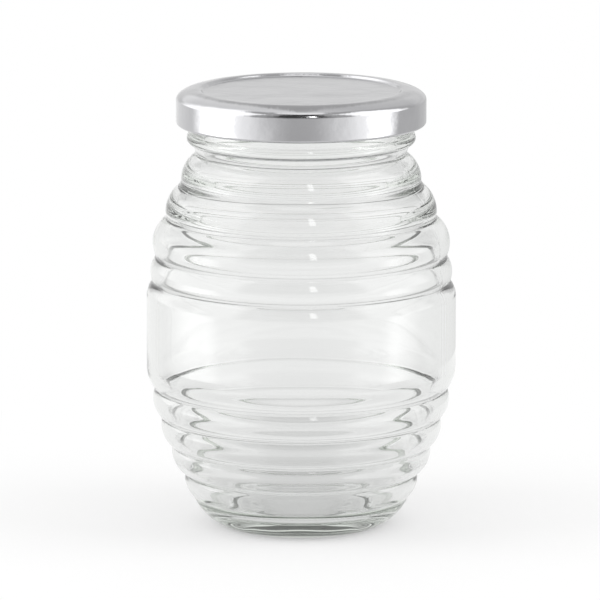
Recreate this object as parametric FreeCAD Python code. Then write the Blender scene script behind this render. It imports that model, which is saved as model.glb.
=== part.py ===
import FreeCAD, Part
import math
import os

# Beehive honey jar: a clear glass jar with stacked rings, closed by a twist-off steel cap.
# Millimetres. +Z is up, the Z axis is the jar's axis, and the origin is the centre of the foot.

# ---- Glass body, from the foot upwards ----
BODY_TAPER = 12.25            # from the label band in to the groove above the heel
HEEL_SPREAD = 7.85            # from that groove in to the outer edge of the foot
HEEL_HEIGHT = 7.6
HEEL_CURVE = 12.9             # radius of the heel's curve in section
FOOT_WIDTH = 1.8              # width of the flat ring the jar stands on
PUSH_UP = 2.8                 # height of the hollow under the base
PUSH_UP_FLAT = 5.0            # radius of its level middle
PUSH_UP_BOW = 0.72            # how much of that height is left half way out to the foot
BASE_THICKNESS = 4.2          # glass at the middle of the base
FLOOR_EDGE = 5.6              # height of the inside's lowest circle
FLOOR_FALL = 0.25             # how much of its fall the floor has made half way out
FLOOR_ROUND = 9.0             # radius of the inside's corner

# Each ring: its height from groove to groove, the height of its crown above its lower groove,
# how far its crown reaches from the heel or the neck (0) out to the label band (1),
# and the depth of the groove at its narrow side below that crown.
LOWER_RINGS = (               # from the heel up to the label band
    (6.05, 4.45, 0.180, 0.05),
    (7.40, 5.90, 0.463, 0.15),
    (7.75, 5.50, 0.692, 0.15),
    (7.85, 5.10, 0.868, 0.42),
)
UPPER_RINGS = (               # from the label band up to the neck
    (6.80, 2.65, 0.923, 0.60),
    (10.70, 3.65, 0.876, 0.95),
    (9.05, 1.15, 0.613, 1.05),
    (7.65, 0.85, 0.300, 1.00),
)
UPPER_SPREAD = 13.25          # reach of the shoulder that the upper rings are given for
BAND_RADIUS = 41.1            # plain label band, the widest part
BAND_HEIGHT = 18.8            # its straight part
BAND_FOOT = 6.0               # curve from the band's lower edge to the groove below
BAND_SHOULDER = 4.0           # curve from its upper edge to the groove above
GROOVE_ROUNDING = 0.45        # fillet in the bottom of each groove
RING_WALL = 3.1               # glass behind a ring's crown
GROOVE_WALL = 2.3             # glass behind a groove
BAND_WALL = 2.7               # glass behind the label band

# ---- Neck and finish ----
MOUTH_RADIUS = 26.3
NECK_REACH = 1.55             # the neck's groove stands this far outside the mouth
NECK_WALL = 2.3
NECK_RISE = 2.7               # from the neck's groove to the underside of the bead
BEAD_REACH = 0.8              # the transfer bead under the cap stands this far off the land
BEAD_CURVE = 1.6              # radius of its underside, and its half height
FINISH_WALL = 3.2             # from the mouth to the land that carries the threads
FINISH_HEIGHT = 11.85         # from the middle of the bead to the rim
MOUTH_DEPTH = 10.5            # straight part of the mouth, below the rim
RIM_INNER_ROUND = 0.8
RIM_OUTER_ROUND = 1.2
THREAD_COUNT = 4
THREAD_DEPTH = 1.4
THREAD_HEIGHT = 1.8           # at its root
THREAD_CREST = 0.72           # height of its level crest
THREAD_ANGLE = 58.0           # degrees of turn that each thread covers
THREAD_RISE = 2.0             # over that turn
THREAD_ROOT = 0.6             # how far each thread is rooted in the land

# ---- Cap and its seal ----
STEEL = 0.25                  # sheet with its lacquer
SEAL_THICKNESS = 0.85         # compound between the rim and the cap's crest
SEAL_WIDTH = 3.3
SEAL_CLEARANCE = 0.04         # between the compound and the curved channel over it
CAP_HEIGHT = 9.3
PANEL_RECESS = 0.75           # the flat panel lies this far below the cap's crest
PANEL_INSET = 0.5             # the panel's edge lies this far inside the mouth
STEP_WIDTH = 1.1              # from the panel's edge up to the crest
STEP_EASE = 0.6               # how much of that width each end of the step's curve leaves level
SHOULDER_DROP = 2.75          # from the crest down to the straight skirt
CURL_DIAMETER = 1.6           # rolled edge at the bottom of the skirt
CURL_CLEARANCE = 0.6          # between the roll and the threads
LUG_ANGLE = 15.0              # degrees of turn that each lug covers
LUG_HEIGHT = 1.35
LUG_CLEARANCE = 0.5           # between a lug and the land
LUG_PLAY = 0.1                # between a lug and the thread over it
LUG_TURN = -17.0              # a closed lug's place, in degrees from the middle of its thread

# ---- Sizes that follow ----
HEEL_RADIUS = BAND_RADIUS - BODY_TAPER
FOOT_RADIUS = HEEL_RADIUS - HEEL_SPREAD
LAND_RADIUS = MOUTH_RADIUS + FINISH_WALL
NECK_RADIUS = MOUTH_RADIUS + NECK_REACH
BEAD_RADIUS = LAND_RADIUS + BEAD_REACH
SHOULDER_SCALE = (BAND_RADIUS - NECK_RADIUS) / UPPER_SPREAD
BAND_BOTTOM = HEEL_HEIGHT + sum(ring[0] for ring in LOWER_RINGS) + BAND_FOOT
BAND_TOP = BAND_BOTTOM + BAND_HEIGHT
NECK_Z = BAND_TOP + BAND_SHOULDER + SHOULDER_SCALE * sum(ring[0] for ring in UPPER_RINGS)
BEAD_Z = NECK_Z + NECK_RISE + BEAD_CURVE
RIM_Z = BEAD_Z + FINISH_HEIGHT
THREAD_RADIUS = LAND_RADIUS + THREAD_DEPTH
CAP_RADIUS = THREAD_RADIUS + CURL_CLEARANCE + CURL_DIAMETER
PANEL_RADIUS = MOUTH_RADIUS - PANEL_INSET
CREST_RADIUS = PANEL_RADIUS + STEP_WIDTH
CAP_TOP = RIM_Z + SEAL_THICKNESS + STEEL
CAP_BOTTOM = CAP_TOP - CAP_HEIGHT
LUG_RADIUS = LAND_RADIUS + LUG_CLEARANCE
LUG_TOP = CAP_BOTTOM + LUG_HEIGHT

AXIS = FreeCAD.Vector(0, 0, 1)
CENTRE = FreeCAD.Vector(0, 0, 0)


def at(radius, height):
    """A point of a section, in the XZ plane."""
    return FreeCAD.Vector(radius, 0, height)


def line(start, end):
    return Part.LineSegment(start, end).toShape()


def crown_arc(groove, crown):
    """The arc from a groove's bottom to a crown, where it stands upright."""
    reach = crown.x - groove.x
    rise = groove.z - crown.z
    radius = (reach ** 2 + rise ** 2) / (2 * reach)
    half_turn = math.atan2(abs(rise), radius - reach) / 2
    middle = at(
        crown.x - radius * (1 - math.cos(half_turn)),
        crown.z + math.copysign(radius * math.sin(half_turn), rise),
    )
    return Part.Arc(groove, middle, crown).toShape()


def bowed_arc(start, end, radius):
    """The arc of a given radius between two points, bowed away from the jar's axis."""
    chord = end - start
    half = chord.Length / 2
    sagitta = radius - math.sqrt(radius ** 2 - half ** 2)
    outward = FreeCAD.Vector(chord.z, 0, -chord.x).normalize()
    middle = (start + end) * 0.5 + outward * sagitta
    return Part.Arc(start, middle, end).toShape()


def ring_points(rings, bottom, base_radius, scale, grooves_above):
    """Crowns and grooves of a run of rings, from the bottom up.

    The rings' heights and depths are multiplied by the scale. grooves_above says whether each
    crown's own groove lies above it, as on the lower rings, or below it, as on the upper ones.
    """
    crowns = []
    grooves = []
    height = bottom
    for ring_height, crown_height, fullness, groove_depth in rings:
        radius = base_radius + fullness * (BAND_RADIUS - base_radius)
        crowns.append(at(radius, height + scale * crown_height))
        groove_height = height + scale * ring_height if grooves_above else height
        grooves.append(at(radius - scale * groove_depth, groove_height))
        height += scale * ring_height
    return crowns, grooves


def lower_rings():
    return ring_points(LOWER_RINGS, HEEL_HEIGHT, HEEL_RADIUS, 1, True)


def upper_rings():
    start = BAND_TOP + BAND_SHOULDER
    return ring_points(UPPER_RINGS, start, NECK_RADIUS, SHOULDER_SCALE, False)


def outer_side():
    """Edges of the outside, from the foot to the bead, with the grooves' points."""
    lower_crowns, lower_tops = lower_rings()
    upper_crowns, upper_feet = upper_rings()
    heel_groove = at(HEEL_RADIUS, HEEL_HEIGHT)
    neck_groove = at(NECK_RADIUS, NECK_Z)

    edges = [bowed_arc(at(FOOT_RADIUS, 0), heel_groove, HEEL_CURVE)]
    below = heel_groove
    for crown, top in zip(lower_crowns, lower_tops):
        edges += [crown_arc(below, crown), crown_arc(top, crown)]
        below = top
    band_bottom = at(BAND_RADIUS, BAND_BOTTOM)
    band_top = at(BAND_RADIUS, BAND_TOP)
    edges += [crown_arc(below, band_bottom), line(band_bottom, band_top)]
    edges.append(crown_arc(upper_feet[0], band_top))
    for crown, foot, above in zip(upper_crowns, upper_feet, upper_feet[1:] + [neck_groove]):
        edges += [crown_arc(foot, crown), crown_arc(above, crown)]

    bead_low = at(BEAD_RADIUS - BEAD_CURVE, BEAD_Z - BEAD_CURVE)
    bead_crown = at(BEAD_RADIUS, BEAD_Z)
    bead_top = at(LAND_RADIUS, BEAD_Z + BEAD_CURVE)
    edges += [line(neck_groove, bead_low), crown_arc(bead_low, bead_crown)]
    edges.append(crown_arc(bead_top, bead_crown))
    grooves = [heel_groove] + lower_tops + upper_feet + [neck_groove]
    return edges, grooves, bead_top


def rim_edges(start):
    """Edges of the land and the rounded rim, from the bead's top to the mouth."""
    outer_low = at(LAND_RADIUS, RIM_Z - RIM_OUTER_ROUND)
    outer_high = at(LAND_RADIUS - RIM_OUTER_ROUND, RIM_Z)
    inner_high = at(MOUTH_RADIUS + RIM_INNER_ROUND, RIM_Z)
    inner_low = at(MOUTH_RADIUS, RIM_Z - RIM_INNER_ROUND)
    mouth_low = at(MOUTH_RADIUS, RIM_Z - MOUTH_DEPTH)
    round_part = 1 - math.sqrt(0.5)
    outer_cut = RIM_OUTER_ROUND * round_part
    inner_cut = RIM_INNER_ROUND * round_part
    outer_middle = at(LAND_RADIUS - outer_cut, RIM_Z - outer_cut)
    inner_middle = at(MOUTH_RADIUS + inner_cut, RIM_Z - inner_cut)
    return [
        line(start, outer_low),
        Part.Arc(outer_low, outer_middle, outer_high).toShape(),
        line(outer_high, inner_high),
        Part.Arc(inner_high, inner_middle, inner_low).toShape(),
        line(inner_low, mouth_low),
    ]


def wall_points(crowns, grooves):
    """The inside's points behind a run of rings: one behind each crown, one behind each groove.

    The inside is softer than the outside, so a crown's point lies halfway up its ring.
    """
    points = []
    for crown, low, high in zip(crowns, grooves, grooves[1:]):
        points.append(at(low.x - GROOVE_WALL, low.z))
        points.append(at(crown.x - RING_WALL, (low.z + high.z) / 2))
    return points


def smooth(points, start_direction, end_direction):
    """Edges of a smooth line through the points, each with the slope of its two neighbours."""
    slopes = [(after - before).normalize() for before, after in zip(points, points[2:])]
    slopes = [start_direction] + slopes + [end_direction]
    edges = []
    for start, end, leaving, arriving in zip(points, points[1:], slopes, slopes[1:]):
        handle = (end - start).Length / 3
        curve = Part.BezierCurve()
        curve.setPoles([start, start + leaving * handle, end - arriving * handle, end])
        edges.append(curve.toShape())
    return edges


def floor_points(side_radius):
    """The inside's points round the corner of the base and across the floor to its middle."""
    corner = at(side_radius - FLOOR_ROUND, FLOOR_EDGE + FLOOR_ROUND)
    points = []
    for degrees in (30, 60, 90):
        turn = math.radians(degrees)
        points.append(corner + at(FLOOR_ROUND * math.cos(turn), -FLOOR_ROUND * math.sin(turn)))
    floor = PUSH_UP + BASE_THICKNESS
    points.append(at((corner.x + PUSH_UP_FLAT) / 2, floor - (floor - FLOOR_EDGE) * FLOOR_FALL))
    points.append(at(PUSH_UP_FLAT, floor))
    return points


def inner_side():
    """Edges of the inside, from the mouth down to the middle of the floor."""
    lower_crowns, lower_tops = lower_rings()
    upper_crowns, upper_feet = upper_rings()
    neck_groove = at(NECK_RADIUS, NECK_Z)
    band_top = at(BAND_RADIUS - BAND_WALL, BAND_TOP)
    band_bottom = at(BAND_RADIUS - BAND_WALL, BAND_BOTTOM)
    upper = [band_top] + wall_points(upper_crowns, upper_feet + [neck_groove])
    upper.append(at(NECK_RADIUS - NECK_WALL, NECK_Z))
    upper.append(at(MOUTH_RADIUS, RIM_Z - MOUTH_DEPTH))
    upper.reverse()
    lower = wall_points(lower_crowns[1:], lower_tops)
    lower.append(at(lower_tops[-1].x - GROOVE_WALL, lower_tops[-1].z))
    lower.append(band_bottom)
    lower.reverse()
    lower += floor_points(lower[-1].x)
    down = FreeCAD.Vector(0, 0, -1)
    inward = FreeCAD.Vector(-1, 0, 0)
    edges = smooth(upper, down, down) + [line(band_top, band_bottom)]
    edges += smooth(lower, down, inward)
    edges.append(line(lower[-1], at(0, lower[-1].z)))
    return edges


def base_edges():
    """Edges of the underside, from the axis out to the foot's outer edge."""
    foot_inner = at(FOOT_RADIUS - FOOT_WIDTH, 0)
    flat_edge = at(PUSH_UP_FLAT, PUSH_UP)
    half_way = at((PUSH_UP_FLAT + foot_inner.x) / 2, PUSH_UP * PUSH_UP_BOW)
    return [
        line(at(0, PUSH_UP), flat_edge),
        Part.Arc(flat_edge, half_way, foot_inner).toShape(),
        line(foot_inner, at(FOOT_RADIUS, 0)),
    ]


def revolve(edges, angle=360.0):
    face = Part.Face(Part.Wire(edges))
    return face.revolve(CENTRE, AXIS, angle)


def is_groove(edge, grooves):
    """Whether an edge is the circle at the bottom of a groove."""
    if edge.Degenerated or not isinstance(edge.Curve, Part.Circle):
        return False
    level = edge.Curve.Center.z
    radius = edge.Curve.Radius
    return any(abs(level - g.z) < 1e-4 and abs(radius - g.x) < 1e-4 for g in grooves)


def thread_at(turn):
    """One inclined thread, its middle at the given turn in degrees."""
    root_half = THREAD_HEIGHT / 2
    crest_half = THREAD_CREST / 2
    root = LAND_RADIUS - THREAD_ROOT
    section = [
        at(root, -root_half),
        at(THREAD_RADIUS, -crest_half),
        at(THREAD_RADIUS, crest_half),
        at(root, root_half),
    ]
    edges = [line(a, b) for a, b in zip(section, section[1:] + section[:1])]
    thread = revolve(edges, THREAD_ANGLE)
    thread.rotate(CENTRE, AXIS, -THREAD_ANGLE / 2)
    thread.rotate(CENTRE, FreeCAD.Vector(1, 0, 0), thread_tilt())
    thread.translate(AXIS * thread_level())
    thread.rotate(CENTRE, AXIS, turn)
    return thread


def thread_tilt():
    """A thread's incline, in degrees."""
    length = LAND_RADIUS * math.radians(THREAD_ANGLE)
    return math.degrees(math.atan2(THREAD_RISE, length))


def thread_level():
    """The height of a thread's middle, with a closed lug just below it."""
    turn_to_lug_end = math.radians(LUG_TURN - LUG_ANGLE / 2)
    fall = LAND_RADIUS * math.sin(turn_to_lug_end) * math.tan(math.radians(thread_tilt()))
    return LUG_TOP + LUG_PLAY + THREAD_HEIGHT / 2 - fall


def jar():
    outside, grooves, bead_top = outer_side()
    edges = base_edges() + outside + rim_edges(bead_top) + inner_side()
    edges.append(line(at(0, PUSH_UP + BASE_THICKNESS), at(0, PUSH_UP)))
    body = revolve(edges)
    creases = [edge for edge in body.Edges if is_groove(edge, grooves)]
    body = body.makeFillet(GROOVE_ROUNDING, creases)
    threads = [thread_at(turn * 360.0 / THREAD_COUNT) for turn in range(THREAD_COUNT)]
    return body.fuse(threads).removeSplitter()


def shoulder(crest, skirt_top):
    """The cap's quarter-ellipse shoulder, level at the crest and upright at the skirt."""
    centre = at(crest.x, skirt_top.z)
    return Part.ArcOfEllipse(Part.Ellipse(skirt_top, crest, centre), 0, math.pi / 2)


def cap_points(inset):
    """Corners of the cap's outer face, or of its inner face when moved in by the sheet."""
    shift = inset / 2
    panel_edge = at(PANEL_RADIUS + shift, CAP_TOP - PANEL_RECESS - inset)
    crest = at(CREST_RADIUS + shift, CAP_TOP - inset)
    skirt_top = at(CAP_RADIUS - inset, CAP_TOP - SHOULDER_DROP)
    return panel_edge, crest, skirt_top


def cap_face(inset):
    """Edges of the panel, its step, the crest and the shoulder, from the axis outwards."""
    panel_edge, crest, skirt_top = cap_points(inset)
    lean = at((crest.x - panel_edge.x) * STEP_EASE, 0)
    step = Part.BezierCurve()
    step.setPoles([panel_edge, panel_edge + lean, crest - lean, crest])
    return [
        line(at(0, panel_edge.z), panel_edge),
        step.toShape(),
        shoulder(crest, skirt_top).toShape(),
    ]


def lug_at(turn):
    """One lug, pressed inwards from the rolled edge, its middle at the given turn in degrees."""
    half_roll = CURL_DIAMETER / 2
    outer = CAP_RADIUS - half_roll
    section = [
        at(outer, CAP_BOTTOM),
        at(LUG_RADIUS + half_roll / 2, CAP_BOTTOM),
        at(LUG_RADIUS, CAP_BOTTOM + half_roll / 2),
        at(LUG_RADIUS, LUG_TOP),
        at(outer, LUG_TOP),
    ]
    edges = [line(a, b) for a, b in zip(section, section[1:] + section[:1])]
    lug = revolve(edges, LUG_ANGLE)
    lug.rotate(CENTRE, AXIS, turn - LUG_ANGLE / 2)
    return lug


def cap():
    skirt_top = cap_points(0)[2]
    inner_top = cap_points(STEEL)[2]
    half_roll = CURL_DIAMETER / 2
    roll_centre = at(CAP_RADIUS - half_roll, CAP_BOTTOM + half_roll)
    roll_outer = roll_centre + at(half_roll, 0)
    roll_low = roll_centre - at(0, half_roll)
    roll_inner = roll_centre - at(half_roll, 0)
    roll_high = roll_centre + at(-1, 1) * (half_roll * math.sqrt(0.5))
    inner_low = at(inner_top.x, roll_centre.z + math.sqrt(half_roll ** 2 - (half_roll - STEEL) ** 2))
    edges = cap_face(0) + [
        line(skirt_top, roll_outer),
        Part.Arc(roll_outer, roll_low, roll_inner).toShape(),
        Part.Arc(roll_inner, roll_high, inner_low).toShape(),
        line(inner_low, inner_top),
    ]
    edges += reversed(cap_face(STEEL))
    edges.append(line(at(0, CAP_TOP - PANEL_RECESS), at(0, CAP_TOP - PANEL_RECESS - STEEL)))
    shell = revolve(edges)
    lugs = [lug_at(LUG_TURN + turn * 360.0 / THREAD_COUNT) for turn in range(THREAD_COUNT)]
    return shell.fuse(lugs).removeSplitter()


def seal():
    """The ring of compound in the cap's channel, pressed flat by the rim below it."""
    _, crest, skirt_top = cap_points(STEEL + SEAL_CLEARANCE)
    curve = shoulder(crest, skirt_top)
    outer_radius = crest.x + SEAL_WIDTH
    outer_turn = math.acos(SEAL_WIDTH / (skirt_top.x - crest.x))
    outer_high = at(outer_radius, skirt_top.z + (crest.z - skirt_top.z) * math.sin(outer_turn))
    top = Part.ArcOfEllipse(curve.Ellipse, outer_turn, math.pi / 2).toShape()
    edges = [
        line(at(crest.x, RIM_Z), at(outer_radius, RIM_Z)),
        line(at(outer_radius, RIM_Z), outer_high),
        top,
        line(crest, at(crest.x, RIM_Z)),
    ]
    return revolve(edges)


def main():
    os.makedirs("parts", exist_ok=True)
    for name, make in (("jar", jar), ("lid", cap), ("seal_ring", seal)):
        shape = make()
        solid = shape.Solids[0]
        print(name, "solids", len(shape.Solids), "valid", shape.isValid(), "volume", round(shape.Volume))
        solid.exportStep("parts/" + name + ".step")


main()
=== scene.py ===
import logging
import math
from dataclasses import dataclass, field
from enum import Enum
from typing import Any, Callable

import bpy
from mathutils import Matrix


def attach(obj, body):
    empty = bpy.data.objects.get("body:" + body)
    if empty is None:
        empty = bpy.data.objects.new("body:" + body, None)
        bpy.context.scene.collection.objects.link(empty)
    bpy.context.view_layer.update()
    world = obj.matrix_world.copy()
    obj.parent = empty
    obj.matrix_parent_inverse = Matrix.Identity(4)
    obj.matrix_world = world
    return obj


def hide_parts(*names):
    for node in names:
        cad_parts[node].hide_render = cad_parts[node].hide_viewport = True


# Beehive honey jar: an empty clear glass jar with stacked rings and a silver twist-off cap.
#
# Sizes are in millimetres and become metres when a mesh is made. The jar's axis is Z, it stands
# on z = 0, and its front faces -Y.

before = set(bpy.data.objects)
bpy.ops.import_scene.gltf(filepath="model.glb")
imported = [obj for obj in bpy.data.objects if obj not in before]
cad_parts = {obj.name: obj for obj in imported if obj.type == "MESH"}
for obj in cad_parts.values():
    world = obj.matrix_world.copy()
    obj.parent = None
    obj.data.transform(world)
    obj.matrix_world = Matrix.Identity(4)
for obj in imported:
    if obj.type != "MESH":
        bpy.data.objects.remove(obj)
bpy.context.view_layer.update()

LOG = logging.getLogger("honey_jar")
MM = 0.001
MERGE = 1e-6
FULL_TURN = 2 * math.pi
SHARP_EDGE = 40.0
ROUNDING_STEP = 15.0
SHORTEST_SHARE = 0.05

Point = tuple[float, float]
Span = tuple[float, float]
Vector = tuple[float, float, float]
Colour = tuple[float, float, float]


# ---------------------------------------------------------------- sections

def apart(a: Point, b: Point) -> float:
    """The distance between two points."""
    return math.hypot(b[0] - a[0], b[1] - a[1])


def between(a: Point, b: Point, share: float) -> Point:
    """The point that lies a share of the way from a to b."""
    return a[0] + (b[0] - a[0]) * share, a[1] + (b[1] - a[1]) * share


def heading(a: Point, b: Point) -> Point:
    """The unit direction from a to b."""
    length = apart(a, b)
    return (b[0] - a[0]) / length, (b[1] - a[1]) / length


def straight(start: Point, end: Point, parts: int = 1) -> list[Point]:
    """Points evenly spaced along a straight line."""
    return [between(start, end, i / parts) for i in range(parts + 1)]


def turned(centre: Point, radii: Point, first: float, last: float, step: float = 5.0) -> list[Point]:
    """Points along an arc of a circle or an ellipse.

    Args:
        centre: The centre of the arc.
        radii: Its radius along the radius axis and along the height axis.
        first: The angle where it starts, in degrees from the outward direction, upwards positive.
        last: The angle where it ends.
        step: The most degrees between two points.

    Returns:
        The points, both ends included.
    """
    parts = max(3, math.ceil(abs(last - first) / step))
    angles = [math.radians(first + (last - first) * i / parts) for i in range(parts + 1)]
    return [(centre[0] + radii[0] * math.cos(a), centre[1] + radii[1] * math.sin(a)) for a in angles]


def crown_arc(groove: Point, crown: Point) -> list[Point]:
    """Points along the arc from a groove's bottom to a crown, where it stands upright.

    Args:
        groove: The bottom of the groove.
        crown: The crown, further out.

    Returns:
        The points, both ends included.
    """
    reach = crown[0] - groove[0]
    rise = groove[1] - crown[1]
    radius = (reach ** 2 + rise ** 2) / (2 * reach)
    turn = math.copysign(math.degrees(math.atan2(abs(rise), radius - reach)), rise)
    return turned((crown[0] - radius, crown[1]), (radius, radius), turn, 0.0)


def bowed_arc(start: Point, end: Point, radius: float) -> list[Point]:
    """Points along the arc of a given radius between two points, bowed outwards.

    Args:
        start: The point where it starts.
        end: The point where it ends.
        radius: Its radius.

    Returns:
        The points, both ends included.
    """
    along = heading(start, end)
    half = apart(start, end) / 2
    depth = math.sqrt(radius ** 2 - half ** 2)
    middle = between(start, end, 0.5)
    centre = (middle[0] - along[1] * depth, middle[1] + along[0] * depth)
    first = math.degrees(math.atan2(start[1] - centre[1], start[0] - centre[0]))
    last = math.degrees(math.atan2(end[1] - centre[1], end[0] - centre[0]))
    return turned(centre, (radius, radius), first, last)


def bezier(poles: tuple[Point, Point, Point, Point], parts: int) -> list[Point]:
    """Points along a cubic curve.

    Args:
        poles: Its start, the handle of the start, the handle of the end, and its end.
        parts: How many pieces it is divided into.

    Returns:
        The points, without the start.
    """
    points = []
    for i in range(1, parts + 1):
        t = i / parts
        weights = ((1 - t) ** 3, 3 * t * (1 - t) ** 2, 3 * t * t * (1 - t), t ** 3)
        points.append((
            sum(w * p[0] for w, p in zip(weights, poles)),
            sum(w * p[1] for w, p in zip(weights, poles)),
        ))
    return points


def flowing(points: list[Point], leaving: Point, arriving: Point, parts: int) -> list[Point]:
    """Points along a smooth line through the given ones.

    Args:
        points: The points it passes through.
        leaving: Its direction at the first point.
        arriving: Its direction at the last point.
        parts: How many pieces each span is divided into.

    Returns:
        The points, both ends included.
    """
    slopes = [leaving] + [heading(a, b) for a, b in zip(points, points[2:])] + [arriving]
    line = [points[0]]
    for start, end, out, into in zip(points, points[1:], slopes, slopes[1:]):
        handle = apart(start, end) / 3
        first = (start[0] + out[0] * handle, start[1] + out[1] * handle)
        second = (end[0] - into[0] * handle, end[1] - into[1] * handle)
        line += bezier((start, first, second, end), parts)
    return line


def cut_back(points: list[Point], length: float) -> list[Point]:
    """Take a length off the end of a line.

    Args:
        points: The line's points.
        length: How much is taken off.

    Returns:
        The points that are left, with the new end.
    """
    kept = list(points)
    while len(kept) > 2 and apart(kept[-2], kept[-1]) <= length:
        length -= apart(kept[-2], kept[-1])
        kept.pop()
    last = apart(kept[-2], kept[-1])
    kept[-1] = between(kept[-2], kept[-1], max(SHORTEST_SHARE, 1 - length / last))
    return kept


class Outline:
    """The section of a turned piece, drawn run by run as points of radius and height."""

    def __init__(self, start: Point) -> None:
        """Start the outline at a point."""
        self.points: list[Point] = [start]

    def add(self, run: list[Point], rounding: float = 0.0) -> "Outline":
        """Join a run to the end of the outline.

        Args:
            run: Its points. The first lies where the outline ends.
            rounding: The radius that the corner between them is rounded to.

        Returns:
            The outline itself.
        """
        if rounding and len(self.points) > 1:
            self.points, run = self.rounded(self.points, run, rounding)
        self.points += run[1:]
        return self

    @staticmethod
    def rounded(head: list[Point], tail: list[Point], radius: float) -> tuple[list[Point], list[Point]]:
        """Round the corner where two runs meet.

        Args:
            head: The run that ends at the corner.
            tail: The run that starts there.
            radius: The radius of the rounding.

        Returns:
            The head with the rounding at its end, and the rest of the tail.
        """
        into = heading(head[-2], head[-1])
        out = heading(tail[0], tail[1])
        turn = math.acos(max(-1.0, min(1.0, into[0] * out[0] + into[1] * out[1])))
        setback = radius * math.tan(turn / 2)
        head = cut_back(head, setback)
        tail = cut_back(tail[::-1], setback)[::-1]
        start, end = head[-1], tail[0]
        into = heading(head[-2], start)
        out = heading(end, tail[1])
        cross = into[0] * out[1] - into[1] * out[0]
        reach = ((end[0] - start[0]) * out[1] - (end[1] - start[1]) * out[0]) / cross
        corner = (start[0] + into[0] * reach, start[1] + into[1] * reach)
        parts = max(3, math.ceil(math.degrees(turn) / ROUNDING_STEP))
        for i in range(1, parts + 1):
            t = i / parts
            head.append(between(between(start, corner, t), between(corner, end, t), t))
        return head, tail


# ---------------------------------------------------------------- modelling

class Bench:
    """The steps of modelling a piece by hand, each on the piece in hand."""

    @staticmethod
    def clear() -> None:
        """Let go of everything."""
        if bpy.context.object and bpy.context.object.mode != "OBJECT":
            bpy.ops.object.mode_set(mode="OBJECT")
        bpy.ops.object.select_all(action="DESELECT")

    @staticmethod
    def hold(piece: bpy.types.Object) -> None:
        """Take a piece in hand, and nothing else.

        Args:
            piece: The piece.
        """
        Bench.clear()
        bpy.context.view_layer.objects.active = piece
        piece.select_set(True)

    @staticmethod
    def turn_section(name: str, points: list[Point], steps: int, angle: float = FULL_TURN,
                     closed: bool = False) -> bpy.types.Object:
        """Draw a section point by point and spin it round the Z axis.

        Args:
            name: The new piece's name.
            points: The section, as radius and height in millimetres.
            steps: How many faces there are round the turn.
            angle: The turn, in radians.
            closed: Whether the section's last point is joined to its first.

        Returns:
            The piece.
        """
        Bench.clear()
        bpy.ops.mesh.primitive_circle_add(vertices=3, radius=MM)
        piece = bpy.context.object
        piece.name = piece.data.name = name
        bpy.ops.object.mode_set(mode="EDIT")
        bpy.ops.mesh.merge(type="CENTER")
        bpy.ops.transform.translate(value=(points[0][0] * MM, 0.0, points[0][1] * MM))
        stops = points[1:] + (points[:1] if closed else [])
        for here, there in zip(points, stops):
            move = ((there[0] - here[0]) * MM, 0.0, (there[1] - here[1]) * MM)
            bpy.ops.mesh.extrude_vertices_move(TRANSFORM_OT_translate={"value": move})
        bpy.ops.mesh.select_all(action="SELECT")
        bpy.ops.mesh.remove_doubles(threshold=MERGE)
        bpy.ops.mesh.spin(steps=steps, angle=angle, center=(0, 0, 0), axis=(0, 0, 1))
        bpy.ops.mesh.select_all(action="SELECT")
        bpy.ops.mesh.remove_doubles(threshold=MERGE)
        if angle < FULL_TURN:
            Bench.cap_ends()
        bpy.ops.mesh.select_all(action="SELECT")
        bpy.ops.mesh.normals_make_consistent(inside=False)
        bpy.ops.object.mode_set(mode="OBJECT")
        return piece

    @staticmethod
    def cap_ends() -> None:
        """Fill the open ends of a part turn."""
        bpy.ops.mesh.select_mode(type="EDGE")
        bpy.ops.mesh.select_all(action="DESELECT")
        bpy.ops.mesh.select_non_manifold()
        bpy.ops.mesh.fill()
        bpy.ops.mesh.select_mode(type="VERT")

    @staticmethod
    def pick(piece: bpy.types.Object, wanted: Callable[[float, float, float], bool]) -> None:
        """Select the points of a piece by their place, ready for editing.

        Args:
            piece: The piece.
            wanted: A function of a point's x, y and z in millimetres, true where it is wanted.
        """
        Bench.hold(piece)
        bpy.ops.object.mode_set(mode="EDIT")
        bpy.ops.mesh.select_mode(type="VERT")
        bpy.ops.mesh.select_all(action="DESELECT")
        bpy.ops.object.mode_set(mode="OBJECT")
        for vertex in piece.data.vertices:
            vertex.select = bool(wanted(*(c / MM for c in vertex.co)))
        bpy.ops.object.mode_set(mode="EDIT")

    @staticmethod
    def pick_all(piece: bpy.types.Object) -> None:
        """Select every point of a piece, ready for editing."""
        Bench.pick(piece, lambda x, y, z: True)

    @staticmethod
    def done() -> None:
        """Go back to the whole piece."""
        bpy.ops.object.mode_set(mode="OBJECT")

    @staticmethod
    def join_solid(piece: bpy.types.Object, other: bpy.types.Object) -> None:
        """Make another closed piece one with this one.

        Args:
            piece: The piece that stays.
            other: The piece that is taken up into it.
        """
        Bench.hold(piece)
        union = piece.modifiers.new("union", "BOOLEAN")
        union.operation = "UNION"
        union.solver = "EXACT"
        union.object = other
        bpy.ops.object.modifier_apply(modifier=union.name)
        bpy.data.objects.remove(other, do_unlink=True)

    @staticmethod
    def dress(piece: bpy.types.Object, material: bpy.types.Material) -> bpy.types.Object:
        """Finish a piece: shade it smooth, put its place into its mesh and give it its material.

        Args:
            piece: The piece.
            material: Its only material.

        Returns:
            The piece.
        """
        Bench.hold(piece)
        bpy.ops.object.shade_smooth_by_angle(angle=math.radians(SHARP_EDGE))
        bpy.ops.object.transform_apply(location=True, rotation=True, scale=True)
        piece.data.materials.clear()
        piece.data.materials.append(material)
        return piece


# ---------------------------------------------------------------- shaders

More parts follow.
